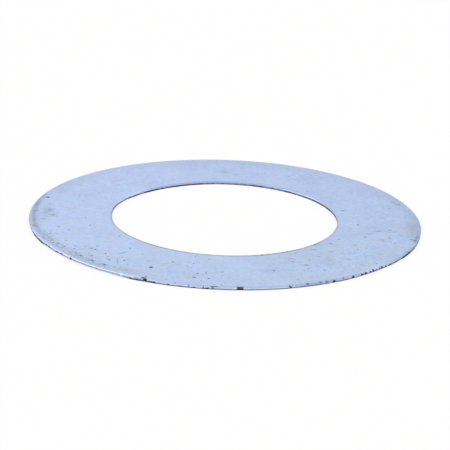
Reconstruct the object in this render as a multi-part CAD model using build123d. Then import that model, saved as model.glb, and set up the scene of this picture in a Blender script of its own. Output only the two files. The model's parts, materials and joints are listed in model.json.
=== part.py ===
from build123d import *

import os

# Flat shim ring, blanked and pierced from cold-rolled steel strip. It lies on its back face:
# the origin is the bore's centre on that face, and +Z points up through the bore.

# Driving dimensions, in millimetres
BORE_DIAMETER = 38.0
OUTER_DIAMETER = 66.0
THICKNESS = 0.5

# One stroke of the die cuts both edges, and leaves the same three bands on each of them,
# from the front face down: a roll-over, a smooth land, and a torn band.
ROLL_DEPTH = 0.24 * THICKNESS  # how far the roll-over drops below the front face
ROLL_WIDTH = 0.80 * THICKNESS  # how far in from the edge it starts
LAND_LENGTH = 0.40 * THICKNESS  # the land is a true cylinder, and the ring's real diameter
TORN_LEAN = 0.06 * THICKNESS  # the torn band leans away from the land by this much

BORE_RADIUS = BORE_DIAMETER / 2
OUTER_RADIUS = OUTER_DIAMETER / 2
LAND_TOP = THICKNESS - ROLL_DEPTH
LAND_BOTTOM = LAND_TOP - LAND_LENGTH


def roll_over(land_radius, side):
    """The rounded corner between the front face and a land: an arc that leaves the face smoothly.

    side is +1 at the outer edge, where the metal lies inside the land, and -1 at the bore.
    """
    start = (land_radius - side * ROLL_WIDTH, THICKNESS)
    return TangentArc(start, (land_radius, LAND_TOP), tangent=(side, 0))


def cut_edge(land_radius, side):
    """A cut edge's outline from the back face up to where its roll-over begins."""
    return Polyline(
        (land_radius - side * TORN_LEAN, 0),
        (land_radius, LAND_BOTTOM),
        (land_radius, LAND_TOP),
    )


def ring_section():
    """The ring's cross-section, with the radius along X and the height along Y."""
    with BuildSketch(Plane.XZ) as section:
        with BuildLine():
            for land_radius, side in ((OUTER_RADIUS, 1), (BORE_RADIUS, -1)):
                cut_edge(land_radius, side)
                roll_over(land_radius, side)
            Line((BORE_RADIUS + TORN_LEAN, 0), (OUTER_RADIUS - TORN_LEAN, 0))
            Line((OUTER_RADIUS - ROLL_WIDTH, THICKNESS), (BORE_RADIUS + ROLL_WIDTH, THICKNESS))
        make_face()
    return section.sketch


def shim_ring():
    return revolve(ring_section(), Axis.Z)


os.makedirs("parts", exist_ok=True)
export_step(shim_ring(), "parts/shim_ring.step")
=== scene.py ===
import json
import math

import bmesh
import bpy
import numpy as np
from mathutils import Matrix, Vector


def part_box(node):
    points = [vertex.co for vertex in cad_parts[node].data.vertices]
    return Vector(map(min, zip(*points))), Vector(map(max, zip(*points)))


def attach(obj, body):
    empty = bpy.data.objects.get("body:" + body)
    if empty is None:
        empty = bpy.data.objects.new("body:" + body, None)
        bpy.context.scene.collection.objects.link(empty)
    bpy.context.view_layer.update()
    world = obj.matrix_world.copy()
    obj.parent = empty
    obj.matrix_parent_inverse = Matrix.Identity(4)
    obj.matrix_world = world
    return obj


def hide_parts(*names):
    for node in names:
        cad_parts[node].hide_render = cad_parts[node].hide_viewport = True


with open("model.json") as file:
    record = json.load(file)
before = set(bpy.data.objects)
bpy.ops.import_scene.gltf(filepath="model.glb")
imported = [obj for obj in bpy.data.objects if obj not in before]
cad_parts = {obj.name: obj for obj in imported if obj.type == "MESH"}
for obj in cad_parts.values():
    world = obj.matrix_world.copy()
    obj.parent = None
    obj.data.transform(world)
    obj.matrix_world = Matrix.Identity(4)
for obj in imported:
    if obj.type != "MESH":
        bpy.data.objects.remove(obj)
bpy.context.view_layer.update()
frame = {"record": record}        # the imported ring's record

# The look of a flat steel shim ring, built round its imported frame. Lengths are in metres and
# bearings in degrees, anticlockwise from +X as seen from above. The camera looks along +Y, so
# the near edge is at 270 degrees and the left end at 180.

MM = 0.001
MOUNTS = {mount["name"]: mount for mount in frame["record"]["mounts"]}

# The ring's section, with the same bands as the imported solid
NODE = "shim_ring"
PIECE = "shim_ring_worn"
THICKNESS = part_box(NODE)[1].z
RIM = MOUNTS["rim"]["dims"]["r_mm"] * MM
BORE = MOUNTS["bore"]["dims"]["r_mm"] * MM
LAND_HALF = MOUNTS["rim"]["dims"]["length_mm"] * MM / 2
LAND_BOTTOM = MOUNTS["rim"]["pos_m"][2] - LAND_HALF
LAND_TOP = MOUNTS["rim"]["pos_m"][2] + LAND_HALF
ROLL_WIDTH = 0.80 * THICKNESS
ROLL_DEPTH = THICKNESS - LAND_TOP
ROLL_END = LAND_TOP + ROLL_WIDTH   # about how far up an edge's surface the flat face begins
TORN_LEAN = 0.06 * THICKNESS

# How finely the ring is divided round its axis. The edges carry the fine wear, and each of their
# counts is a whole multiple of the faces' count.
FACE_COUNT = 640
RIM_COUNT = 3 * FACE_COUNT
BORE_COUNT = 2 * FACE_COUNT

# How finely its section is divided. The shares are how far down the land and the torn band their
# rows lie. The gaps are flat rows close beside an edge, and the faces' even rows lie beyond them.
ROLL_STEPS = 6
LAND_SHARES = (0.35, 0.70, 1.0)
TORN_SHARES = (0.25, 0.50, 0.75, 1.0)
FRONT_GAPS = (0.40 * MM, 0.18 * MM)
FRONT_STEP = 0.55 * MM
BACK_GAP = 0.10 * MM
BACK_START = 0.60 * MM
BACK_STEP = 1.1 * MM
SHARP_ANGLE = 28   # degrees between two faces whose shared edge isn't shaded smooth

# The ragged cut: how far the line under the land wanders, in long waves and in short ones, how
# deep the torn band below it is eaten away, and how grey the line is at least
LONG_WANDER = 0.020 * MM
LONG_WAVE = 1.6 * MM
SHORT_WANDER = 0.012 * MM
SHORT_WAVE = 0.35 * MM
TEAR = 0.012 * MM
TEAR_GRAIN = 0.16 * MM
TEAR_LIMIT = 0.08 * MM
TORN_LINE_CUT = 0.6

# Where things fade out over an edge's surface
CUT_FADE = 0.25 * MM           # this far above the land the grey of the cut starts to fade
EDGE_FADE = 0.20 * MM          # an edge off its circle is back on it this far past the roll-over
FOOT_FADE = 0.04 * MM          # and a foot is this far above the torn band
COOL_START = 0.10 * MM         # the rim's bluish band is full this far above the land
COOL_END = 3.0 * ROLL_WIDTH    # and has faded out this far above it

# Streaks in the dirt, painted shade and painted highlights round an edge, as grain and strength
STREAKS = ((0.90 * MM, 0.21), (0.25 * MM, 0.175))

# The outlines of nicks and bruises: how ragged they are, and how square (2 is an ellipse)
RAGGED = 0.22
RAGGED_GRAIN = 0.14 * MM
RAGGED_LIMITS = (0.4, 1.6)
SQUARENESS = 2.5

# Pits: how deep they are, how dark, how far round each one the face is refined, and how finely
PIT_DEPTH = 0.05 * MM
PIT_DARK = 0.9
PIT_MARGIN = 0.25 * MM
PIT_CUTS = 5

# What is painted on the mesh for the material, each from 0 to 1
PAINTS = ("cool", "cut", "dark", "pitted", "rust", "scuffed", "painted_highlight", "stain", "worn")

# How dark or bright each cut edge is painted round the ring, with dirt and painted shade below 0 and
# painted highlights above it: a bearing, then a level at each of these heights over its surface, from
# -1 where it is painted black to 1 where it is painted white. Between heights and between bearings it
# changes evenly, and is then cut off at -1 and 1.
TONE_CLIMBS = (
    0.05 * MM, 0.15 * MM, 0.22 * MM, 0.30 * MM, 0.38 * MM, 0.48 * MM, 0.62 * MM, 0.82 * MM, 1.30 * MM,
)
RIM_TONES = (
    (0, -0.20, -0.15, -0.12, -0.10, 0.10, -0.05, -0.14, -0.12, 0.00),
    (18, -0.30, -0.25, -0.20, -0.10, 0.50, 0.27, 0.12, 0.00, 0.00),
    (35, -0.50, -0.40, -0.30, -0.25, -0.05, -0.10, -0.06, -0.08, 0.00),
    (60, -0.30, -0.25, -0.20, -0.20, -0.12, -0.16, -0.12, -0.08, 0.00),
    (85, -0.45, -0.35, -0.25, -0.20, -0.05, 0.00, 0.02, 0.00, 0.00),
    (100, -0.35, -0.30, -0.25, -0.15, 0.05, 0.10, 0.07, 0.02, 0.00),
    (118, -0.50, -0.40, -0.25, -0.10, 0.45, 0.30, 0.20, 0.06, 0.00),
    (138, -0.30, -0.25, -0.20, -0.10, 0.60, 0.40, 0.20, 0.04, 0.00),
    (153, -0.30, -0.25, -0.20, -0.10, 0.75, 0.50, 0.20, -0.04, 0.00),
    (170, -0.25, -0.20, -0.20, -0.10, 0.70, 0.20, -0.20, -0.22, 0.00),
    (180, -0.20, -0.20, -0.15, -0.10, -0.15, -0.10, -0.06, -0.05, 0.00),
    (188, -0.80, -0.70, -0.36, -0.20, -0.36, -0.08, 0.02, 0.00, 0.00),
    (196, -0.75, -0.62, -0.36, -0.20, -0.15, 0.05, 0.08, 0.00, 0.00),
    (198.5, -0.90, -0.90, -0.80, -0.50, 0.05, 0.25, 0.10, 0.00, 0.00),
    (200, -2.00, -2.00, -1.80, -1.00, 0.22, 0.72, 0.30, 0.00, 0.00),
    (207.5, -2.00, -2.00, -1.80, -1.00, 0.22, 0.72, 0.30, 0.00, 0.00),
    (209.5, 0.30, -0.10, -0.80, -0.55, -0.05, 0.38, 0.46, 0.22, 0.00),
    # From here to 240 degrees the foot is painted white, a painted highlight for the white floor that
    # shows under the real ring's slightly lifted edge
    (211, 1.00, -0.20, -1.00, -0.60, 0.12, 0.50, 0.52, 0.18, 0.00),
    (222, 1.00, 1.00, 0.16, -0.45, -0.18, 0.30, 0.28, 0.10, 0.00),
    (232, 1.00, 1.00, 0.26, -0.45, -0.16, 0.26, 0.24, 0.08, 0.00),
    (240, 1.00, 0.80, 0.00, -0.35, -0.12, 0.22, 0.20, 0.10, 0.00),
    (243, 0.20, 0.00, -0.30, -0.30, 0.05, 0.22, 0.22, 0.10, 0.00),
    (245, -1.40, -1.10, -0.05, 0.38, 0.46, 0.38, 0.20, 0.05, 0.00),
    (248, -1.40, -1.10, -0.05, 0.38, 0.46, 0.38, 0.20, 0.05, 0.00),
    (251, -0.95, -0.32, 0.38, 0.48, 0.34, 0.10, -0.03, 0.00, 0.00),
    (262, -0.78, -0.04, 0.52, 0.55, 0.30, 0.02, -0.06, 0.00, 0.00),
    (272, -0.96, 0.34, 0.52, 0.34, 0.10, -0.02, 0.00, 0.00, 0.00),
    (286, -0.96, 0.38, 0.52, 0.28, 0.02, -0.02, 0.00, 0.00, 0.00),
    (291, -0.62, -0.30, -0.04, 0.02, 0.08, 0.06, 0.05, 0.05, 0.00),
    (300, -0.62, -0.30, -0.04, 0.02, 0.08, 0.06, 0.07, 0.06, 0.00),
    (303, -0.60, -0.14, 0.12, 0.20, 0.16, 0.11, 0.12, 0.09, 0.00),
    (309, -0.60, -0.14, 0.12, 0.20, 0.16, 0.13, 0.14, 0.11, 0.00),
    (311, -0.25, -0.70, -0.40, 0.08, 0.44, 0.56, 0.48, 0.20, 0.00),
    (320, -0.25, -0.70, -0.40, 0.08, 0.42, 0.54, 0.44, 0.16, 0.00),
    (323, -0.80, -1.25, -0.80, -0.18, 0.12, 0.14, 0.08, 0.03, 0.00),
    (329, -1.00, -1.30, -0.95, -0.42, -0.06, 0.04, 0.03, 0.00, 0.00),
    (332, -1.60, -1.60, -1.40, -0.90, -0.50, -0.20, -0.08, -0.03, 0.00),
    (339, -1.60, -1.60, -1.40, -0.90, -0.50, -0.20, -0.08, -0.03, 0.00),
    (342, -1.50, -1.40, -1.10, -0.50, -0.22, -0.08, -0.08, -0.08, 0.00),
    (346, -1.20, -1.10, -0.80, -0.35, -0.22, -0.10, -0.10, -0.10, 0.00),
    (350, -0.15, -0.15, -0.12, -0.12, -0.16, -0.18, -0.16, -0.12, 0.00),
)
BORE_TONES = (
    (5, -1.20, -1.20, -1.00, -0.46, -0.02, 0.12, 0.12, 0.07, 0.00),
    (20, -1.20, -1.15, -0.75, -0.28, 0.06, 0.15, 0.14, 0.08, 0.02),
    (30, -1.10, -1.05, -0.60, -0.15, 0.08, 0.16, 0.14, 0.08, 0.03),
    (50, -0.95, -0.68, -0.06, 0.30, 0.24, 0.00, -0.10, 0.02, 0.00),
    (75, -0.60, -0.85, -0.80, -0.34, 0.00, 0.12, 0.10, 0.05, 0.00),
    (100, -0.46, -0.58, -0.54, -0.14, 0.06, 0.06, 0.02, 0.00, 0.00),
    (118, -1.70, -1.00, -0.08, 0.02, 0.00, 0.02, 0.02, 0.00, 0.00),
    (135, -1.70, -1.00, -0.08, 0.02, 0.00, 0.02, 0.02, 0.00, 0.00),
    (140, -0.95, -0.95, -0.50, 0.08, 0.38, 0.44, 0.32, 0.06, 0.00),
    (149, -0.90, -1.00, -0.85, -0.20, 0.42, 0.60, 0.46, 0.10, 0.00),
    (153, 0.40, -0.55, -1.20, -0.80, 0.10, 0.62, 0.56, 0.12, 0.00),
    # Round here, and again from 198 to 205 degrees, the foot is painted white, a painted highlight
    # low on the bore's wall
    (161, 1.00, 0.00, -1.05, -1.05, -0.20, 0.58, 0.58, 0.12, 0.00),
    (166, 1.00, 0.90, 0.20, -0.90, -0.90, 0.04, 0.36, 0.04, 0.00),
    (172, 1.00, 1.00, 0.60, -0.60, -1.15, -0.30, 0.06, 0.00, 0.00),
    (184, -0.50, -0.70, -0.60, -0.45, -0.45, -0.28, -0.08, 0.00, 0.00),
    (190, -0.10, -0.20, -0.15, -0.05, -0.15, -0.16, -0.10, -0.06, 0.00),
    (198, 0.98, 0.98, 0.98, 0.92, 0.45, 0.02, -0.22, -0.18, 0.00),
    (205, 1.00, 1.00, 0.84, 0.70, 0.36, -0.08, -0.26, -0.14, 0.00),
    (216, 0.00, 0.00, 0.00, 0.00, 0.20, -0.18, -0.36, -0.18, -0.02),
    (235, -0.30, -0.30, -0.20, -0.20, -0.50, -0.62, -0.64, -0.45, -0.04),
    (255, -0.30, -0.30, -0.20, -0.20, -0.46, -0.56, -0.58, -0.45, -0.08),
    (278, -0.30, -0.30, -0.20, -0.20, -0.30, -0.44, -0.50, -0.40, -0.08),
    (295, -0.40, -0.35, -0.30, -0.30, -0.42, -0.44, -0.44, -0.46, -0.12),
    (325, -0.40, -0.35, -0.30, -0.30, -0.48, -0.42, -0.34, -0.30, -0.03),
    (345, -0.75, -0.62, -0.52, -0.48, -0.48, -0.28, -0.12, -0.02, 0.00),
)

# Round the ring, how far the grey of the cut reaches up each edge, and how bluish the rim is
RIM_CUT = (
    (0, 0.10), (180, 0.10), (212, 0.40), (240, 0.40), (250, 0.10), (286, 0.10),
    (292, 0.60), (306, 0.50), (311, 0.60), (320, 0.50), (326, 0.30), (345, 0.15),
)
BORE_CUT = (
    (8, 0.40), (45, 0.50), (110, 0.50), (135, 0.20), (142, 0.00), (152, 0.05),
    (162, 0.25), (190, 0.35), (210, 0.20), (330, 0.20), (345, 0.45),
)
RIM_COOL = (
    (0, 0.75), (20, 1.00), (45, 0.85), (65, 0.60), (100, 0.45), (150, 0.65),
    (172, 0.40), (180, 0.00), (340, 0.00), (352, 0.65),
)

# How far each cut edge departs from its true circle: a bearing, how far the whole edge stands out
# of the metal, and how much further its foot does, as a burr or, below 0, where it is worn back
RIM_STANDS = (
    (0, -0.04 * MM, 0.00), (25, -0.04 * MM, 0.00), (35, 0.00, 0.00),
    (60, 0.01 * MM, 0.00), (78, 0.04 * MM, 0.00), (98, 0.02 * MM, 0.00),
    (115, -0.04 * MM, 0.00), (175, -0.05 * MM, 0.00), (185, 0.00, 0.00),
    (196, 0.00, 0.00), (200, 0.06 * MM, 0.02 * MM), (207.5, 0.06 * MM, 0.02 * MM),
    (210, 0.00, -0.09 * MM), (240, 0.00, -0.12 * MM), (245, 0.00, 0.05 * MM),
    (251, 0.00, 0.02 * MM), (262, 0.00, 0.01 * MM), (276, 0.02 * MM, 0.05 * MM),
    (287, 0.02 * MM, 0.05 * MM), (300, 0.02 * MM, 0.01 * MM), (309, 0.00, 0.00),
    (311, 0.00, -0.10 * MM), (320, 0.00, -0.10 * MM), (323, -0.01 * MM, -0.06 * MM),
    (329, 0.00, -0.04 * MM), (332, 0.06 * MM, 0.01 * MM), (340, 0.05 * MM, 0.01 * MM),
    (344, 0.00, 0.00), (350, -0.02 * MM, 0.00),
)
BORE_STANDS = (
    (0, 0.07 * MM, 0.03 * MM), (30, 0.04 * MM, 0.04 * MM), (60, 0.00, 0.02 * MM),
    (75, -0.02 * MM, 0.00), (105, 0.00, 0.00), (118, 0.01 * MM, 0.17 * MM),
    (135, 0.01 * MM, 0.17 * MM), (148, 0.00, 0.02 * MM), (155, -0.12 * MM, -0.03 * MM),
    (170, -0.17 * MM, 0.00), (198, -0.16 * MM, 0.00), (210, -0.10 * MM, 0.00),
    (225, -0.03 * MM, 0.00), (285, -0.05 * MM, 0.00), (300, 0.02 * MM, 0.00),
    (345, 0.05 * MM, 0.00),
)

# Nicks in the edges: bearing, how far up the edge, length round it, reach up and down, depth,
# how dark, how rusty
RIM_NICKS = (
    (210.6, 0.32 * MM, 0.36 * MM, 0.22 * MM, 0.04 * MM, 0.8, 0.0),
    (212.3, 0.28 * MM, 0.36 * MM, 0.22 * MM, 0.04 * MM, 0.8, 0.0),
    (216.9, 0.30 * MM, 0.60 * MM, 0.17 * MM, 0.04 * MM, 0.7, 0.0),
    (219.1, 0.34 * MM, 0.50 * MM, 0.17 * MM, 0.04 * MM, 0.7, 0.0),
    (223.5, 0.30 * MM, 0.42 * MM, 0.26 * MM, 0.06 * MM, 1.0, 0.0),
    (233.6, 0.22 * MM, 0.25 * MM, 0.10 * MM, 0.03 * MM, 0.6, 0.0),
    (244.8, 0.14 * MM, 0.40 * MM, 0.14 * MM, 0.06 * MM, 1.0, 0.2),
    (248.2, 0.70 * MM, 0.60 * MM, 0.16 * MM, 0.03 * MM, 0.9, 0.3),
    (249.0, 0.38 * MM, 0.66 * MM, 0.46 * MM, 0.14 * MM, 0.95, 0.4),
    (247.0, 0.28 * MM, 1.80 * MM, 0.32 * MM, 0.02 * MM, 0.18, 0.10),
    (250.9, 0.12 * MM, 1.30 * MM, 0.18 * MM, 0.05 * MM, 1.0, 0.0),
    (253.3, 0.10 * MM, 0.35 * MM, 0.10 * MM, 0.03 * MM, 0.6, 0.0),
    (255.6, 0.12 * MM, 0.50 * MM, 0.13 * MM, 0.06 * MM, 1.0, 0.0),
    (257.3, 0.62 * MM, 0.30 * MM, 0.12 * MM, 0.03 * MM, 0.6, 0.0),
    (259.1, 0.08 * MM, 1.00 * MM, 0.09 * MM, 0.04 * MM, 0.8, 0.1),
    (261.0, 0.38 * MM, 0.30 * MM, 0.30 * MM, 0.02 * MM, 0.3, 0.0),
    (262.4, 0.10 * MM, 0.70 * MM, 0.09 * MM, 0.04 * MM, 0.9, 0.0),
    (264.8, 0.26 * MM, 0.28 * MM, 0.22 * MM, 0.03 * MM, 0.5, 0.2),
    (265.8, 0.10 * MM, 0.75 * MM, 0.11 * MM, 0.06 * MM, 1.0, 0.0),
    (267.3, 0.30 * MM, 0.40 * MM, 0.24 * MM, 0.04 * MM, 0.4, 0.25),
    (267.7, 0.52 * MM, 1.10 * MM, 0.12 * MM, 0.05 * MM, 0.65, 0.25),
    (274.2, 0.36 * MM, 0.46 * MM, 0.40 * MM, 0.12 * MM, 0.75, 0.9),
    (274.6, 0.46 * MM, 0.75 * MM, 0.22 * MM, 0.08 * MM, 0.5, 0.9),
    (275.0, 0.26 * MM, 0.40 * MM, 0.28 * MM, 0.10 * MM, 0.75, 0.7),
    (275.2, 0.56 * MM, 0.55 * MM, 0.10 * MM, 0.04 * MM, 0.7, 0.5),
    (287.8, 0.42 * MM, 0.28 * MM, 0.20 * MM, 0.06 * MM, 0.9, 0.0),
    (288.1, 0.18 * MM, 0.30 * MM, 0.18 * MM, 0.06 * MM, 1.0, 0.0),
    (292.9, 0.46 * MM, 0.50 * MM, 0.16 * MM, 0.03 * MM, 0.5, 0.1),
    (296.7, 0.46 * MM, 0.40 * MM, 0.18 * MM, 0.03 * MM, 0.5, 0.0),
    (298.6, 0.40 * MM, 0.50 * MM, 0.20 * MM, 0.03 * MM, 0.5, 0.0),
    (300.9, 0.19 * MM, 0.48 * MM, 0.22 * MM, 0.07 * MM, 1.0, 0.1),
    (304.0, 0.50 * MM, 0.30 * MM, 0.24 * MM, 0.03 * MM, 0.5, 0.0),
    (307.4, 0.22 * MM, 0.44 * MM, 0.25 * MM, 0.07 * MM, 1.0, 0.1),
    (310.6, 0.22 * MM, 0.56 * MM, 0.23 * MM, 0.05 * MM, 0.9, 0.1),
    (312.0, 0.34 * MM, 0.44 * MM, 0.30 * MM, 0.06 * MM, 1.0, 0.1),
    (313.7, 0.30 * MM, 0.26 * MM, 0.30 * MM, 0.05 * MM, 0.8, 0.1),
    (315.0, 0.33 * MM, 0.40 * MM, 0.34 * MM, 0.06 * MM, 1.0, 0.1),
    (316.2, 0.24 * MM, 0.36 * MM, 0.22 * MM, 0.04 * MM, 0.8, 0.0),
    (317.7, 0.24 * MM, 0.36 * MM, 0.24 * MM, 0.05 * MM, 0.9, 0.1),
    (318.8, 0.31 * MM, 0.44 * MM, 0.33 * MM, 0.07 * MM, 1.0, 0.1),
    (320.4, 0.24 * MM, 0.34 * MM, 0.20 * MM, 0.04 * MM, 0.8, 0.0),
    (322.3, 0.20 * MM, 0.34 * MM, 0.17 * MM, 0.04 * MM, 0.8, 0.1),
    (325.2, 0.20 * MM, 0.26 * MM, 0.14 * MM, 0.03 * MM, 0.6, 0.0),
)
BORE_NICKS = (
    (287.9, 0.84 * MM, 0.56 * MM, 0.32 * MM, 0.04 * MM, 1.0, 0.0),
)

# Painted glints on the rim's corner: bearing, how far up the edge, length, reach, strength
RIM_PAINTED_GLINTS = (
    (241.9, 0.44 * MM, 0.40 * MM, 0.18 * MM, 0.8),
    (242.8, 0.46 * MM, 0.25 * MM, 0.12 * MM, 0.7),
    (245.2, 0.62 * MM, 0.60 * MM, 0.10 * MM, 0.6),
    (273.1, 0.24 * MM, 0.50 * MM, 0.13 * MM, 0.9),
    (289.0, 0.40 * MM, 0.25 * MM, 0.16 * MM, 0.6),
)

# Pits in the front face: bearing, distance from the axis, half length round, half width, rust
FACE_PITS = (
    (246.5, 28.1 * MM, 0.34 * MM, 0.36 * MM, 0.7),
    (251.1, 24.4 * MM, 0.16 * MM, 0.20 * MM, 0.1),
    (258.8, 23.9 * MM, 0.14 * MM, 0.16 * MM, 0.0),
    (261.9, 28.0 * MM, 0.18 * MM, 0.18 * MM, 0.2),
    (264.5, 27.5 * MM, 0.18 * MM, 0.20 * MM, 0.2),
    (261.4, 29.7 * MM, 0.40 * MM, 0.18 * MM, 0.2),
    (287.0, 26.6 * MM, 0.18 * MM, 0.20 * MM, 0.0),
    (198.1, 23.4 * MM, 0.14 * MM, 0.16 * MM, 0.0),
    (211.6, 31.2 * MM, 0.18 * MM, 0.18 * MM, 0.1),
    (226.3, 29.9 * MM, 0.20 * MM, 0.18 * MM, 0.1),
    (236.1, 27.8 * MM, 0.22 * MM, 0.22 * MM, 0.0),
    (167.8, 31.5 * MM, 0.50 * MM, 0.24 * MM, 0.1),
    (185.9, 20.0 * MM, 0.14 * MM, 0.14 * MM, 0.0),
    (215.2, 20.9 * MM, 0.16 * MM, 0.16 * MM, 0.0),
    (354.9, 22.4 * MM, 0.14 * MM, 0.14 * MM, 0.0),
    (14.0, 20.8 * MM, 0.14 * MM, 0.14 * MM, 0.0),
    (326.2, 25.8 * MM, 0.16 * MM, 0.16 * MM, 0.0),
    (344.1, 31.8 * MM, 0.18 * MM, 0.18 * MM, 0.0),
    (210.9, 31.8 * MM, 0.24 * MM, 0.16 * MM, 0.1),
    (215.3, 31.1 * MM, 0.20 * MM, 0.16 * MM, 0.1),
    (218.2, 30.2 * MM, 0.18 * MM, 0.18 * MM, 0.0),
    (222.3, 31.3 * MM, 0.14 * MM, 0.14 * MM, 0.2),
    (223.9, 31.1 * MM, 0.24 * MM, 0.18 * MM, 0.1),
    (225.9, 30.9 * MM, 0.14 * MM, 0.14 * MM, 0.1),
    (229.3, 31.3 * MM, 0.32 * MM, 0.15 * MM, 0.2),
    (233.9, 31.3 * MM, 0.42 * MM, 0.18 * MM, 0.2),
    (227.5, 27.6 * MM, 0.18 * MM, 0.18 * MM, 0.0),
    (222.7, 27.7 * MM, 0.14 * MM, 0.14 * MM, 0.0),
    (230.1, 28.4 * MM, 0.14 * MM, 0.14 * MM, 0.0),
    (232.4, 29.2 * MM, 0.18 * MM, 0.24 * MM, 0.1),
    (338.9, 29.8 * MM, 0.16 * MM, 0.16 * MM, 0.0),
)

# Soft marks on the front face: bearing, distance from the axis, half length round, half width,
# strength. Stains are an olive-grey film. Worn marks gather streaks and blots, pitted ones gather
# specks, and scuffed ones gather dirty and bright flecks.
FACE_STAINS = (
    (200.0, 32.1 * MM, 3.0 * MM, 0.50 * MM, 0.70),
    (195.5, 32.1 * MM, 3.6 * MM, 0.45 * MM, 0.85),
    (189.0, 32.2 * MM, 3.6 * MM, 0.48 * MM, 0.82),
    (182.5, 32.2 * MM, 3.6 * MM, 0.48 * MM, 0.82),
    (176.0, 32.3 * MM, 3.6 * MM, 0.50 * MM, 0.80),
    (169.0, 32.5 * MM, 3.5 * MM, 0.60 * MM, 0.50),
    (194.7, 32.45 * MM, 0.6 * MM, 0.35 * MM, 1.30),
    (181.0, 30.6 * MM, 5.0 * MM, 1.00 * MM, 0.17),
    (153.0, 31.9 * MM, 8.0 * MM, 1.60 * MM, 0.24),
    (120.0, 32.0 * MM, 12.0 * MM, 1.80 * MM, 0.08),
    (88.0, 30.8 * MM, 15.0 * MM, 1.60 * MM, 0.14),
    (50.0, 32.3 * MM, 12.0 * MM, 1.60 * MM, 0.12),
    (22.0, 32.3 * MM, 5.0 * MM, 1.60 * MM, 0.24),
    (206.0, 31.9 * MM, 3.5 * MM, 0.70 * MM, 0.55),
    (213.0, 31.9 * MM, 4.0 * MM, 0.80 * MM, 0.42),
    (228.0, 31.9 * MM, 7.0 * MM, 0.80 * MM, 0.47),
    (241.0, 31.2 * MM, 3.0 * MM, 0.80 * MM, 0.35),
    (343.7, 32.5 * MM, 0.7 * MM, 0.40 * MM, 1.20),
    (346.9, 32.5 * MM, 0.9 * MM, 0.35 * MM, 1.10),
    (350.0, 31.9 * MM, 2.5 * MM, 0.90 * MM, 0.50),
    (356.0, 31.8 * MM, 3.5 * MM, 1.20 * MM, 0.45),
    (6.0, 32.0 * MM, 4.0 * MM, 1.10 * MM, 0.38),
    (17.4, 31.6 * MM, 0.5 * MM, 0.55 * MM, 0.80),
    (159.5, 30.7 * MM, 2.2 * MM, 1.10 * MM, 0.28),
    (151.4, 29.6 * MM, 0.4 * MM, 0.60 * MM, 0.45),
    (20.0, 31.3 * MM, 0.8 * MM, 0.50 * MM, 0.60),
    (16.0, 32.1 * MM, 0.5 * MM, 0.30 * MM, 0.45),
    (352.0, 31.3 * MM, 0.3 * MM, 0.90 * MM, 0.45),
    (359.0, 32.2 * MM, 0.5 * MM, 0.60 * MM, 0.40),
    (185.0, 29.2 * MM, 0.8 * MM, 0.50 * MM, 0.45),
    (14.0, 20.9 * MM, 0.5 * MM, 0.50 * MM, 0.45),
    (91.0, 25.0 * MM, 0.8 * MM, 0.90 * MM, 0.50),
    (86.0, 23.7 * MM, 0.5 * MM, 0.60 * MM, 0.40),
    (311.0, 22.8 * MM, 2.5 * MM, 1.60 * MM, 0.18),
    (316.0, 20.6 * MM, 6.0 * MM, 1.40 * MM, 0.16),
    (308.0, 26.0 * MM, 1.6 * MM, 2.20 * MM, 0.16),
    (351.0, 25.5 * MM, 2.5 * MM, 1.60 * MM, 0.12),
    (285.0, 26.6 * MM, 1.3 * MM, 0.80 * MM, 0.30),
)
FACE_WORN = (
    (222.0, 31.2 * MM, 12.0 * MM, 1.0 * MM, 0.70),
    (184.0, 29.5 * MM, 4.0 * MM, 2.5 * MM, 0.50),
    (256.0, 27.0 * MM, 9.0 * MM, 4.0 * MM, 0.45),
    (300.0, 25.5 * MM, 8.0 * MM, 4.5 * MM, 0.65),
    (322.0, 27.0 * MM, 7.0 * MM, 4.5 * MM, 0.65),
    (345.0, 27.5 * MM, 6.0 * MM, 4.0 * MM, 0.90),
    (5.0, 28.5 * MM, 6.0 * MM, 3.0 * MM, 0.55),
)
FACE_PITTED = (
    (225.0, 31.1 * MM, 9.0 * MM, 1.0 * MM, 0.70),
    (208.0, 31.0 * MM, 5.0 * MM, 1.4 * MM, 1.00),
    (228.0, 28.6 * MM, 7.0 * MM, 2.2 * MM, 0.40),
    (203.0, 29.2 * MM, 4.0 * MM, 2.0 * MM, 0.30),
    (258.0, 27.5 * MM, 8.0 * MM, 4.0 * MM, 0.35),
    (305.0, 29.5 * MM, 7.0 * MM, 2.5 * MM, 0.25),
)
FACE_SCUFFED = (
    (203.0, 31.6 * MM, 4.0 * MM, 0.7 * MM, 0.60),
    (212.0, 31.7 * MM, 5.0 * MM, 0.9 * MM, 1.00),
    (224.0, 31.7 * MM, 7.0 * MM, 0.9 * MM, 1.00),
    (237.0, 31.6 * MM, 4.0 * MM, 0.8 * MM, 0.60),
    (228.0, 29.4 * MM, 7.0 * MM, 1.6 * MM, 0.25),
    (254.0, 31.0 * MM, 6.0 * MM, 1.2 * MM, 0.25),
    (312.0, 30.6 * MM, 9.0 * MM, 1.8 * MM, 0.30),
)
FACE_MARKS = {
    "stain": FACE_STAINS,
    "worn": FACE_WORN,
    "pitted": FACE_PITTED,
    "scuffed": FACE_SCUFFED,
}

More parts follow.
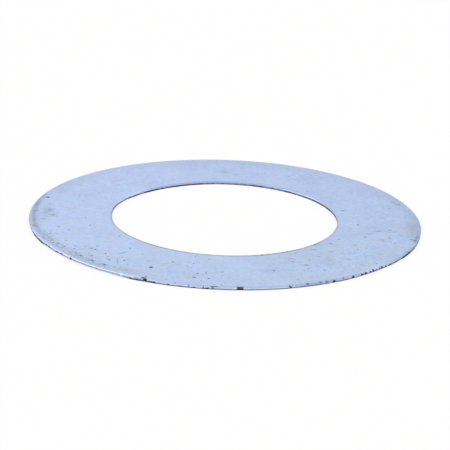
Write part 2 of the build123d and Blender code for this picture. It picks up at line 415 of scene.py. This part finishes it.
# Scratches on the front face: bearing and distance of the middle, the way it runs in degrees from
# +X, half length, half width, strength
FACE_SCRATCHES = (
    (180.4, 29.7 * MM, 5.0, 0.62 * MM, 1.05 * MM, 0.75),
    (180.1, 29.9 * MM, 0.0, 1.20 * MM, 1.50 * MM, 0.35),
    (185.1, 29.0 * MM, 0.0, 0.50 * MM, 0.60 * MM, 0.45),
    (174.2, 30.1 * MM, 0.0, 0.55 * MM, 0.60 * MM, 0.35),
    (182.8, 28.6 * MM, 0.0, 0.70 * MM, 0.60 * MM, 0.25),
    (188.9, 30.6 * MM, 0.0, 0.75 * MM, 0.40 * MM, 0.60),
    (183.1, 30.3 * MM, 0.0, 0.80 * MM, 0.50 * MM, 0.35),
    (196.9, 28.6 * MM, 0.0, 0.45 * MM, 0.32 * MM, 0.80),
    (234.9, 28.7 * MM, 97.0, 1.90 * MM, 0.16 * MM, 0.75),
    (231.1, 25.4 * MM, 44.0, 1.25 * MM, 0.26 * MM, 0.80),
    (216.2, 29.4 * MM, 133.0, 1.20 * MM, 0.35 * MM, 0.40),
    (221.5, 27.7 * MM, 135.0, 1.50 * MM, 0.35 * MM, 0.40),
    (298.3, 22.4 * MM, 162.0, 1.00 * MM, 0.24 * MM, 0.75),
    (296.6, 23.2 * MM, 134.0, 0.75 * MM, 0.22 * MM, 0.65),
    (297.4, 23.8 * MM, 67.0, 1.20 * MM, 0.15 * MM, 0.45),
    (300.1, 25.9 * MM, 156.0, 0.70 * MM, 0.32 * MM, 0.60),
    (309.3, 23.7 * MM, 162.0, 0.40 * MM, 0.30 * MM, 0.60),
    (311.7, 25.0 * MM, 31.0, 0.50 * MM, 0.28 * MM, 0.55),
    (313.4, 20.9 * MM, 0.0, 0.65 * MM, 0.36 * MM, 0.65),
    (317.1, 23.3 * MM, 164.0, 0.65 * MM, 0.34 * MM, 0.55),
    (325.0, 21.1 * MM, 135.0, 0.60 * MM, 0.30 * MM, 0.80),
    (315.8, 27.4 * MM, 136.0, 0.80 * MM, 0.32 * MM, 0.60),
    (315.2, 30.7 * MM, 136.0, 1.10 * MM, 0.24 * MM, 0.50),
    (329.7, 24.5 * MM, 18.0, 0.65 * MM, 0.34 * MM, 0.60),
    (340.1, 24.5 * MM, 61.0, 0.90 * MM, 0.28 * MM, 0.65),
    (344.2, 24.7 * MM, 173.0, 0.65 * MM, 0.34 * MM, 0.70),
    (348.9, 26.1 * MM, 32.0, 0.85 * MM, 0.32 * MM, 0.60),
    (351.0, 27.8 * MM, 6.0, 0.50 * MM, 0.36 * MM, 0.75),
    (353.8, 22.5 * MM, 142.0, 0.60 * MM, 0.24 * MM, 0.85),
)

# The bare steel's colours as they look on a screen, from 0 to 255: its tone goes from dull to
# bright, and its hue from violet to green. The rest is how much paler, greener or greyer it
# turns in each millimetre along X and along Y. The paling is painted light, brighter towards the left
# and near side.
DULL_VIOLET = (160, 177, 219)
DULL_GREEN = (155, 179, 215)
BRIGHT_VIOLET = (185, 204, 246)
BRIGHT_GREEN = (181, 207, 243)
PAINTED_LIGHT_SLOPE = (-0.0035, -0.0042)
GREENER = (0.0025, -0.0020)
GREYER = (0.0, -0.0060)

# What lies over the bare steel: how much of it a full layer hides, and the layer's own colour
LAYERS = {
    "greyed": (0.43, (181, 197, 218)),
    "film": (0.80, (119, 133, 128)),
    "soiled": (0.60, (108, 116, 126)),
    "rubbed": (0.60, (222, 230, 244)),
    "streaks": (0.50, (122, 144, 187)),
    "scratches": (0.70, (86, 113, 160)),
    "specks": (0.80, (50, 82, 130)),
    "cool": (0.40, (148, 186, 226)),
    "cut": (0.75, (152, 153, 178)),
    # painted highlights on the cut edges: glints, bright roll-overs and a white foot
    "painted_highlight": (1.00, (226, 234, 254)),
    # dirt and painted shade on the cut edges, and the dark of nicks and pits
    "dark": (1.00, (37, 33, 60)),
    "rust": (0.85, (84, 64, 46)),
}
EDGE_LAYERS = ("cool", "cut", "painted_highlight", "dark", "rust")

# The stage
FLOOR_HALF = 10.0           # half of the floor's side
FLOOR_DROP = 0.002 * MM     # how far it lies below the ring
PAPER = 0.9                 # how much light its paper throws back
LIFT_WHITE = 1.09           # the white that lifts what the camera sees of the paper
LIFT_SHARE = 0.65           # and how much of that white is mixed in
WORLD_LIGHT = 0.88          # the strength of the white world as a light on matt surfaces


# ---------------------------------------------------------------------------- helpers

def smooth(low, high, value):
    """0 below low, 1 above high, and an even curve between them."""
    share = np.clip((value - low) / (high - low), 0.0, 1.0)
    return share * share * (3.0 - 2.0 * share)


def roughness(count, radius, grain, seed):
    """Periodic noise round a circle, with unit spread and features about one grain long."""
    waves = np.fft.rfft(np.random.default_rng(seed).standard_normal(count))
    waves *= np.exp(-((np.arange(len(waves)) * grain / radius / 2.0) ** 2))
    waves[0] = 0.0
    noise = np.fft.irfft(waves, count)
    return noise / noise.std()


def turn_between(angles, bearing):
    """How far each angle is from a bearing, the short way round, in radians."""
    return (angles - math.radians(bearing) + math.pi) % (2.0 * math.pi) - math.pi


# ---------------------------------------------------------------------------- geometry

class Row:
    """One closed row of points round the ring, with what is painted on it."""

    def __init__(self, count, radius, height, climb=0.0, lean=0.0):
        self.count = count
        self.angles = np.arange(count) * (2.0 * math.pi / count)
        self.radius = np.full(count, float(radius))
        self.height = np.full(count, float(height))
        self.climb = climb   # how far up a cut edge, over its surface from the back face
        self.lean = lean     # the way it faces: 0 is straight out, and a quarter turn is up
        self.paint = {name: np.zeros(count) for name in PAINTS}

    def points(self):
        x = self.radius * np.cos(self.angles)
        y = self.radius * np.sin(self.angles)
        return np.stack([x, y, self.height], 1)

    def lay(self, name, level):
        """Brings a paint up to a level where it is below it."""
        self.paint[name] = np.clip(np.maximum(self.paint[name], level), 0.0, 1.0)


def read_round(row, table):
    """The levels of a table of bearings and levels, at each point of a row."""
    bearings, levels = zip(*table)
    return np.interp(np.degrees(row.angles), bearings, levels, period=360)


def roll_rows(land_radius, side, count):
    """The rows of a roll-over, from the front face down to the land's top."""
    bend = (ROLL_WIDTH**2 + ROLL_DEPTH**2) / (2.0 * ROLL_DEPTH)
    full = math.asin(ROLL_WIDTH / bend)
    for step in range(ROLL_STEPS + 1):
        turn = full * step / ROLL_STEPS
        inward = ROLL_WIDTH - bend * math.sin(turn)
        drop = bend * (1.0 - math.cos(turn))
        climb = LAND_TOP + bend * (full - turn)
        yield Row(count, land_radius - side * inward, THICKNESS - drop, climb, math.pi / 2.0 - turn)


def land_rows(land_radius, count, cuts, wander):
    """The rows of the smooth land, down to the ragged line under it."""
    for share in LAND_SHARES:
        height = LAND_TOP + share * (LAND_BOTTOM - LAND_TOP)
        row = Row(count, land_radius, height, height)
        row.height += share * wander
        least = TORN_LINE_CUT if share == 1.0 else 0.0
        row.paint["cut"] = np.maximum(read_round(row, cuts), least)
        yield row


def torn_rows(land_radius, side, count, wander, seed):
    """The rows of the torn band, from under the land down to the back face."""
    for number, share in enumerate(TORN_SHARES):
        height = LAND_BOTTOM * (1.0 - share)
        row = Row(count, land_radius, height, height)
        tear = TEAR * (roughness(count, land_radius, TEAR_GRAIN, seed + number) + 1.0)
        row.radius -= side * np.clip(TORN_LEAN * share + tear, 0.0, TEAR_LIMIT)
        row.height += (1.0 - share) * wander
        row.paint["cut"][:] = 1.0
        yield row


def edge_rows(land_radius, side, count, cuts, seed):
    """All rows of a cut edge, from the front face down to the back face."""
    past_roll = ROLL_END + ROLL_DEPTH
    rows = []
    for gap in FRONT_GAPS:
        radius = land_radius - side * (ROLL_WIDTH + gap)
        rows.append(Row(count, radius, THICKNESS, past_roll + gap, math.pi / 2.0))
    rows += roll_rows(land_radius, side, count)
    for row in rows:
        fade = 1.0 - smooth(LAND_TOP + CUT_FADE, past_roll, row.climb)
        row.paint["cut"] = fade * read_round(row, cuts)
    wander = LONG_WANDER * roughness(count, land_radius, LONG_WAVE, seed)
    wander += SHORT_WANDER * roughness(count, land_radius, SHORT_WAVE, seed + 1)
    rows += land_rows(land_radius, count, cuts, wander)
    rows += torn_rows(land_radius, side, count, wander, seed + 2)
    return rows


def stand_out(rows, side, stands):
    """Moves a cut edge off its true circle, but not the flat rows behind it."""
    bearings, whole, foot = zip(*stands)
    for row in rows:
        turn = np.degrees(row.angles)
        edge = 1.0 - smooth(ROLL_END, ROLL_END + EDGE_FADE, row.climb)
        low = 1.0 - smooth(0.0, LAND_BOTTOM + FOOT_FADE, row.climb)
        row.radius += side * edge * np.interp(turn, bearings, whole, period=360)
        row.radius += side * low * np.interp(turn, bearings, foot, period=360)


def uneven(row, land_radius, seed):
    """Short streaks round an edge, about 1 on average."""
    level = np.ones(row.count)
    for number, (grain, strength) in enumerate(STREAKS):
        level += strength * roughness(row.count, land_radius, grain, seed + number)
    return level


def tint_edge(rows, land_radius, tones, seed):
    """Paints a cut edge darker with dirt and painted shade, and brighter with painted highlights, by
    its table of levels.
    """
    bearings, *columns = zip(*tones)
    for row in rows:
        at_climb = [np.interp(row.climb, TONE_CLIMBS, levels, right=0.0) for levels in zip(*columns)]
        level = np.interp(np.degrees(row.angles), bearings, at_climb, period=360)
        level *= uneven(row, land_radius, seed)
        row.lay("dark", -level)
        row.lay("painted_highlight", level)


def cool_roll(rows):
    """Makes the rim's roll-over and the face beside it bluish."""
    for row in rows:
        band = smooth(LAND_TOP, LAND_TOP + COOL_START, row.climb)
        band *= 1.0 - smooth(ROLL_END, LAND_TOP + COOL_END, row.climb)
        row.paint["cool"] = band * read_round(row, RIM_COOL)


def patch(row, land_radius, bearing, climb, length, reach, seed):
    """How deep each point of a row is in a ragged patch on a cut edge, from 0 to 1."""
    ragged = 1.0 + RAGGED * roughness(row.count, land_radius, RAGGED_GRAIN, seed)
    ragged = np.clip(ragged, *RAGGED_LIMITS)
    along = np.abs(turn_between(row.angles, bearing)) * land_radius / (length / 2.0) * ragged
    up = abs(row.climb - climb) / reach * ragged
    return np.clip(1.0 - along**SQUARENESS - up**SQUARENESS, 0.0, 1.0)


def nick(rows, land_radius, side, bearing, climb, length, reach, depth, dark, rust):
    """Dents a cut edge and darkens the dent."""
    for number, row in enumerate(rows):
        seed = round(bearing * 10) + number
        deep = patch(row, land_radius, bearing, climb, length, reach, seed)
        row.radius -= side * depth * deep * math.cos(row.lean)
        row.height -= depth * deep * math.sin(row.lean)
        row.height = np.maximum(row.height, 0.0)
        darkening = smooth(0.0, 0.35, deep)
        row.lay("dark", darkening * dark)
        row.lay("rust", darkening * rust)
        row.paint["painted_highlight"] *= 1.0 - darkening


def paint_glint(rows, land_radius, bearing, climb, length, reach, strength):
    """Paints a glint, a painted highlight, on a place on a cut edge."""
    for row in rows:
        deep = patch(row, land_radius, bearing, climb, length, reach, seed=7)
        level = strength * smooth(0.0, 0.5, deep)
        row.lay("painted_highlight", level)
        row.paint["dark"] *= 1.0 - level


def scattered_nicks(count, first, last, seed):
    """Small nicks at random between two bearings, for the walls that face away from the camera."""
    chance = np.random.default_rng(seed)
    for _ in range(count):
        depth = chance.uniform(0.02, 0.06) * MM
        bearing = chance.uniform(first, last)
        climb = chance.uniform(0.05, 0.45) * MM
        length = chance.uniform(0.15, 0.60) * MM
        reach = chance.uniform(0.06, 0.20) * MM
        dark = chance.uniform(0.4, 0.9)
        rust = chance.uniform(0.0, 0.3)
        yield bearing, climb, length, reach, depth, dark, rust


def back_margin(foot, side):
    """A clean row on the back face, close to an edge's foot, so that the dirt stays on the edge."""
    row = Row(foot.count, 0.0, 0.0)
    row.radius = foot.radius - side * BACK_GAP
    return row


def rim_rows():
    rows = edge_rows(RIM, 1, RIM_COUNT, RIM_CUT, seed=11)
    stand_out(rows, 1, RIM_STANDS)
    # the tone table paints dirt, painted shade and painted highlights on the rim
    tint_edge(rows, RIM, RIM_TONES, seed=71)
    cool_roll(rows)
    # these bearings run on past 360 degrees, round the far side
    unseen = scattered_nicks(count=38, first=352, last=548, seed=5)
    for mark in (*unseen, *RIM_NICKS):
        nick(rows, RIM, 1, *mark)
    for mark in RIM_PAINTED_GLINTS:
        paint_glint(rows, RIM, *mark)
    return [*rows, back_margin(rows[-1], 1)]


def bore_rows():
    rows = edge_rows(BORE, -1, BORE_COUNT, BORE_CUT, seed=41)
    stand_out(rows, -1, BORE_STANDS)
    # the tone table paints dirt, painted shade and painted highlights on the bore
    tint_edge(rows, BORE, BORE_TONES, seed=81)
    unseen = scattered_nicks(count=18, first=190, last=350, seed=6)
    for mark in (*unseen, *BORE_NICKS):
        nick(rows, BORE, -1, *mark)
    return [*rows, back_margin(rows[-1], -1)]


def face_rows(start, end, height, step):
    """Evenly spaced rows strictly between two radii on a flat face."""
    steps = max(2, round(abs(end - start) / step))
    return [Row(FACE_COUNT, start + (end - start) * k / steps, height) for k in range(1, steps)]


def marked(row, marks):
    """How strongly each point of a row lies in soft marks on a face. At most it is 1.3."""
    level = np.zeros(row.count)
    for bearing, distance, half_length, half_width, strength in marks:
        along = turn_between(row.angles, bearing) * distance / half_length
        across = (row.radius - distance) / half_width
        level = np.maximum(level, strength * np.exp(-(along**2) - across**2))
    return level


def mark_front(rows):
    """Paints the front face's soft marks, which fade out down the roll-overs."""
    for row in rows:
        shown = smooth(0.6 * THICKNESS, THICKNESS, row.height)
        for name, marks in FACE_MARKS.items():
            row.paint[name] = shown * marked(row, marks)


def join_rows(first, first_at, second, second_at):
    """Faces between two rows. Where one is finer, several of its edges meet one of the other's."""
    coarse = min(first.count, second.count)
    a_per = first.count // coarse
    b_per = second.count // coarse
    faces = []
    for k in range(coarse):
        a = [first_at + (k * a_per + i) % first.count for i in range(a_per + 1)]
        b = [second_at + (k * b_per + i) % second.count for i in range(b_per + 1)]
        faces.append(b + a[::-1])
    return faces


def mesh_through(rows):
    """A closed mesh through rows that go once round the ring's section, with their paint."""
    starts = np.cumsum([0] + [row.count for row in rows])
    faces = []
    for k, row in enumerate(rows):
        after = (k + 1) % len(rows)
        faces += join_rows(row, starts[k], rows[after], starts[after])
    mesh = bpy.data.meshes.new(PIECE)
    mesh.from_pydata(np.concatenate([row.points() for row in rows]).tolist(), [], faces)
    for name in PAINTS:
        layer = mesh.attributes.new(name, "FLOAT", "POINT")
        layer.data.foreach_set("value", np.concatenate([row.paint[name] for row in rows]))
    mesh.validate()
    return mesh


def flat_edges_near(bm, middle, reach):
    """The edges round a place, of faces that lie wholly in the flat front face, each once."""
    found = {}
    for vert in bm.verts:
        if (vert.co - middle).length >= reach:
            continue
        for face in vert.link_faces:
            if all(corner.co.z > 0.999 * THICKNESS for corner in face.verts):
                found.update(dict.fromkeys(face.edges))
    return list(found)


def press_pit(bm, bearing, distance, half_length, half_width, rusty):
    """Refines the front face round a pit and presses the pit into it."""
    dark = bm.verts.layers.float["dark"]
    rust = bm.verts.layers.float["rust"]
    turn = math.radians(bearing)
    outward = Vector((math.cos(turn), math.sin(turn), 0.0))
    along = Vector((-math.sin(turn), math.cos(turn), 0.0))
    middle = distance * outward + Vector((0.0, 0.0, THICKNESS))
    reach = max(half_length, half_width) + PIT_MARGIN
    near = flat_edges_near(bm, middle, reach)
    bmesh.ops.subdivide_edges(bm, edges=near, cuts=PIT_CUTS, use_grid_fill=True)
    for vert in bm.verts:
        away = vert.co - middle
        if away.length > reach or vert.co.z < 0.99 * THICKNESS:
            continue
        off = math.hypot(away.dot(along) / half_length, away.dot(outward) / half_width)
        deep = max(0.0, 1.0 - off * off)
        darkening = min(1.0, 1.6 * deep)   # full over most of the pit
        vert.co.z -= PIT_DEPTH * deep
        vert[dark] = max(vert[dark], PIT_DARK * darkening)
        vert[rust] = max(vert[rust], rusty * darkening)


def press_pits(mesh):
    bm = bmesh.new()
    bm.from_mesh(mesh)
    for pit in FACE_PITS:
        press_pit(bm, *pit)
    bm.to_mesh(mesh)
    bm.free()


def make_ring():
    rim = rim_rows()
    bore = bore_rows()
    front = face_rows(bore[0].radius[0], rim[0].radius[0], THICKNESS, FRONT_STEP)
    back_inset = TORN_LEAN + BACK_START
    back = face_rows(RIM - back_inset, BORE + back_inset, 0.0, BACK_STEP)
    mark_front(front + rim + bore)
    # once round the section: down the rim, in along the back, up the bore, out along the front
    mesh = mesh_through(rim + back + bore[::-1] + front)
    press_pits(mesh)
    mesh.shade_smooth()
    mesh.set_sharp_from_angle(angle=math.radians(SHARP_ANGLE))
    ring = bpy.data.objects.new(PIECE, mesh)
    bpy.context.scene.collection.objects.link(ring)
    return ring


# --------------------------------------------------------------------------- materials

def colour(red, green, blue):
    """A colour as it looks on a screen, from 0 to 255, as the linear value that nodes take."""
    linear = []
    for level in (red, green, blue):
        share = level / 255.0
        linear.append(share / 12.92 if share <= 0.04045 else ((share + 0.055) / 1.055) ** 2.4)
    return (*linear, 1.0)


class Nodes:
    """A short way to write a material's node tree."""

    def __init__(self, name):
        self.material = bpy.data.materials.new(name)
        self.material.use_nodes = True
        self.tree = self.material.node_tree
        self.tree.nodes.clear()

    def add(self, kind, inputs=None, **settings):
        node = self.tree.nodes.new("ShaderNode" + kind)
        for key, value in settings.items():
            setattr(node, key, value)
        for key, value in (inputs or {}).items():
            if isinstance(value, bpy.types.NodeSocket):
                self.tree.links.new(value, node.inputs[key])
            else:
                node.inputs[key].default_value = value
        return node

    def math(self, operation, first, second):
        return self.add("Math", {0: first, 1: second}, operation=operation).outputs[0]

    def times(self, first, *others):
        for other in others:
            first = self.math("MULTIPLY", first, other)
        return first

    def plus(self, first, *others):
        for other in others:
            first = self.math("ADD", first, other)
        return first

    def most(self, first, *others):
        for other in others:
            first = self.math("MAXIMUM", first, other)
        return first

    def vector(self, operation, first, second):
        inputs = {0: first, 1: second}
        return self.add("VectorMath", inputs, operation=operation).outputs["Vector"]

    def scaled(self, vector, scale):
        inputs = {0: vector, "Scale": scale}
        return self.add("VectorMath", inputs, operation="SCALE").outputs["Vector"]

    def length(self, vector):
        return self.add("VectorMath", {0: vector}, operation="LENGTH").outputs["Value"]

    def slope(self, place, rise):
        """A level that changes evenly over the steel, by so much a millimetre along X and Y."""
        inputs = {0: place, 1: (*rise, 0.0)}
        return self.add("VectorMath", inputs, operation="DOT_PRODUCT").outputs["Value"]

    def mix(self, factor, first, second):
        return self.add("Mix", {0: factor, 6: first, 7: second}, data_type="RGBA").outputs[2]

    def cover(self, under, name, level):
        """Lays one of the layers over a colour, as far as its level says."""
        amount, tint = LAYERS[name]
        return self.mix(self.times(level, amount), under, colour(*tint))

    def ramp(self, value, low, high, top=1.0):
        """0 where value is at low, and top where it is at high."""
        return self.add("MapRange", {0: value, 1: low, 2: high, 4: top}, clamp=True).outputs[0]

    def between(self, level, low, high):
        """Low where the level is 0, and high where it is 1."""
        return self.plus(self.times(level, high - low), low)

    def attribute(self, name):
        return self.add("Attribute", attribute_name=name).outputs["Fac"]

    def noise(self, where, scale, detail=2.0, rough=0.5):
        inputs = {"Vector": where, "Scale": scale, "Detail": detail, "Roughness": rough}
        return self.add("TexNoise", inputs).outputs[0]

    def bent(self, place, scale, reach):
        """A place moved about by noise in the plane of the ring, by half the reach on average."""
        noise = self.add("TexNoise", {"Vector": place, "Scale": scale}).outputs["Color"]
        inputs = {0: noise, 1: (reach, reach, 0.0), 2: place}
        return self.add("VectorMath", inputs, operation="MULTIPLY_ADD").outputs["Vector"]


def specks(n, place, pitted):
    """Small dark pits: one in each cell of a grid, kept only where the steel is pitted enough."""
    where = n.bent(place, scale=2.5, reach=0.5)
    cells = n.add("TexVoronoi", {"Vector": where, "Scale": 0.95}, voronoi_dimensions="2D")
    chance = n.add("SeparateColor", {0: cells.outputs["Color"]}).outputs
    kept = n.math("LESS_THAN", chance[0], pitted)
    size = n.between(chance[1], 0.09, 0.25)
    spot = n.ramp(cells.outputs["Distance"], size, n.times(size, 0.4))
    return n.times(spot, kept, n.between(chance[2], 0.4, 1.0))


def streaks_round(n, place):
    """Fine streaks that run round the ring, near its rim."""
    flat = n.vector("MULTIPLY", place, (1.0, 1.0, 0.0))
    distance = n.length(flat)
    around = n.add("VectorMath", {0: flat}, operation="NORMALIZE").outputs["Vector"]
    rings = n.add("CombineXYZ", {2: n.times(distance, 2.0)}).outputs[0]
    where = n.vector("ADD", n.scaled(around, 14.0), rings)
    streaks = n.ramp(n.noise(where, scale=1.0, detail=3.0), 0.53, 0.68)
    near_rim = n.ramp(distance, 27.5, 30.5)   # in millimetres from the axis
    return n.times(streaks, near_rim)


def chosen_scratches(n, place):
    """The scratches that stand out, each a long thin spot with a ragged edge."""
    reach = 0.3
    where = n.bent(place, scale=2.0, reach=reach)
    level = 0.0
    for bearing, distance, turn, half_length, half_width, strength in FACE_SCRATCHES:
        angle = math.radians(bearing)
        x = distance * math.cos(angle) / MM + reach / 2.0
        y = distance * math.sin(angle) / MM + reach / 2.0
        spot = n.add("Mapping", {
            "Vector": where,
            "Location": (x, y, THICKNESS / MM),
            "Rotation": (0.0, 0.0, math.radians(turn)),
            "Scale": (half_length / MM, half_width / MM, 0.1),
        }, vector_type="TEXTURE").outputs[0]
        level = n.most(level, n.ramp(n.length(spot), 1.0, 0.4, top=strength))
    return level


def bare_steel(n, place, mottle, grain):
    """The rolled steel's own colour, before anything lies on it."""
    # the tone is mottle, grain and clouds together, and painted light makes the strip paler towards
    # one corner
    clouds = n.times(n.noise(place, scale=0.16), 0.8)
    tone = n.plus(n.times(mottle, 1.2), n.times(grain, 0.9), clouds, n.slope(place, PAINTED_LIGHT_SLOPE))
    tone = n.ramp(tone, 0.91, 1.81)
    # the hue drifts from violet to green, and in places the steel loses some of its blue
    hue = n.ramp(n.plus(n.noise(place, scale=0.25), n.slope(place, GREENER)), 0.32, 0.68)
    dull = n.mix(hue, colour(*DULL_VIOLET), colour(*DULL_GREEN))
    bright = n.mix(hue, colour(*BRIGHT_VIOLET), colour(*BRIGHT_GREEN))
    greyed = n.plus(n.noise(place, scale=0.3, detail=3.0), n.slope(place, GREYER))
    return n.cover(n.mix(tone, dull, bright), "greyed", n.ramp(greyed, 0.45, 0.70))


def face_layers(n, place, paint):
    """How strong each kind of mark on the faces is, in the order in which they lie on them."""
    worn = n.between(paint["worn"], 0.10, 1.00)
    pitted = n.between(paint["pitted"], 0.03, 0.83)
    patchy = n.ramp(n.noise(place, scale=2.2, detail=3.0), 0.38, 0.62)
    flecks = n.noise(place, scale=2.0, detail=3.0, rough=0.7)
    blots = n.ramp(n.noise(place, scale=1.3, detail=3.0), 0.53, 0.66)
    return {
        "film": n.times(paint["stain"], n.between(patchy, 0.55, 1.15)),
        "soiled": n.times(n.ramp(flecks, 0.52, 0.60), paint["scuffed"]),
        "rubbed": n.times(n.ramp(flecks, 0.48, 0.40), paint["scuffed"]),
        "streaks": n.times(n.most(blots, streaks_round(n, place)), worn),
        "scratches": chosen_scratches(n, place),
        "specks": specks(n, place, pitted),
    }


def steel():
    """Cold-rolled strip: bluish faces with a fine grain, specks and scratches, darker cuts, painted
    shade and highlights.
    """
    n = Nodes("rolled_steel_face")
    place = n.scaled(n.add("TexCoord").outputs["Object"], 1.0 / MM)
    paint = {name: n.attribute(name) for name in PAINTS}
    mottle = n.noise(place, scale=1.5)
    grain = n.noise(place, scale=4.5, rough=0.6)
    layers = face_layers(n, place, paint)
    tint = bare_steel(n, place, mottle, grain)
    for name, level in layers.items():
        tint = n.cover(tint, name, level)
    for name in EDGE_LAYERS:
        tint = n.cover(tint, name, paint[name])

    sunk = n.most(layers["specks"], layers["scratches"], n.times(layers["streaks"], 0.4))
    height = n.math("SUBTRACT", n.times(grain, 0.5), sunk)
    bump = n.add("Bump", {"Height": height, "Strength": 0.3, "Distance": 0.02 * MM})
    film_and_dark = n.times(n.plus(layers["film"], paint["dark"]), 0.25)
    shader = n.add("BsdfPrincipled", {
        "Base Color": tint,
        "Metallic": 1.0,
        "Roughness": n.plus(n.between(mottle, 0.24, 0.36), film_and_dark),
        "Normal": bump.outputs[0],
    })
    n.add("OutputMaterial", {0: shader.outputs[0]})
    return n.material


def floor_paper():
    """White paper. Only what the camera and reflections see of it is lifted towards plain white."""
    n = Nodes("floor_paper")
    rays = n.add("LightPath").outputs
    seen = n.most(rays["Is Camera Ray"], rays["Is Glossy Ray"], rays["Is Transmission Ray"])
    paper = n.add("BsdfDiffuse", {"Color": (PAPER, PAPER, PAPER, 1.0)})
    white = n.add("Emission", {"Strength": LIFT_WHITE})
    inputs = {0: n.times(seen, LIFT_SHARE), 1: paper.outputs[0], 2: white.outputs[0]}
    lifted = n.add("MixShader", inputs)
    n.add("OutputMaterial", {0: lifted.outputs[0]})
    return n.material


# ------------------------------------------------------------------------------- stage

def make_floor():
    mesh = bpy.data.meshes.new("floor")
    signs = [(-1, -1), (1, -1), (1, 1), (-1, 1)]
    corners = [(x * FLOOR_HALF, y * FLOOR_HALF, -FLOOR_DROP) for x, y in signs]
    mesh.from_pydata(corners, [], [(0, 1, 2, 3)])
    floor = bpy.data.objects.new("floor", mesh)
    bpy.context.scene.collection.objects.link(floor)
    mesh.materials.append(floor_paper())


def make_world():
    """Plain white all round, a little dimmer as a light on matt surfaces."""
    world = bpy.data.worlds.new("studio")
    bpy.context.scene.world = world
    world.use_nodes = True
    tree = world.node_tree
    background = tree.nodes["Background"]
    background.inputs["Color"].default_value = (1.0, 1.0, 1.0, 1.0)
    paths = tree.nodes.new("ShaderNodeLightPath")
    lit = tree.nodes.new("ShaderNodeMapRange")
    tree.links.new(paths.outputs["Is Diffuse Ray"], lit.inputs[0])
    lit.inputs["To Min"].default_value = 1.0
    lit.inputs["To Max"].default_value = WORLD_LIGHT
    tree.links.new(lit.outputs[0], background.inputs["Strength"])


def make_lamp():
    """A wide soft lamp, high behind the ring on its left."""
    lamp = bpy.data.lights.new("softbox", "SUN")
    lamp.energy = 0.15
    lamp.color = (1.0, 0.92, 0.82)
    lamp.angle = math.radians(20)
    placed = bpy.data.objects.new("softbox", lamp)
    bearing = math.radians(125)
    height = math.radians(48)
    flat = math.cos(height)
    towards = Vector((math.cos(bearing) * flat, math.sin(bearing) * flat, math.sin(height)))
    placed.rotation_euler = towards.to_track_quat("Z", "Y").to_euler()
    bpy.context.scene.collection.objects.link(placed)


def make_camera():
    data = bpy.data.cameras.new("camera")
    data.sensor_width = 36.0
    data.lens = 129.5
    data.clip_start = 0.01
    data.clip_end = 100.0
    camera = bpy.data.objects.new("camera", data)
    camera.location = (-0.00002, -0.25936, 0.08887)
    tilt = math.radians(19.137)
    roll = math.radians(2.03)
    forward = Vector((0.0, math.cos(tilt), -math.sin(tilt)))
    upright = forward.to_track_quat("-Z", "Y").to_matrix()
    camera.rotation_euler = (upright @ Matrix.Rotation(roll, 3, "Z")).to_euler()
    bpy.context.scene.collection.objects.link(camera)
    bpy.context.scene.camera = camera


make_camera()
make_world()
make_lamp()
make_floor()
ring = make_ring()
ring.data.materials.append(steel())
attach(ring, "root")
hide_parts(NODE)
bpy.context.scene.view_settings.view_transform = "Standard"
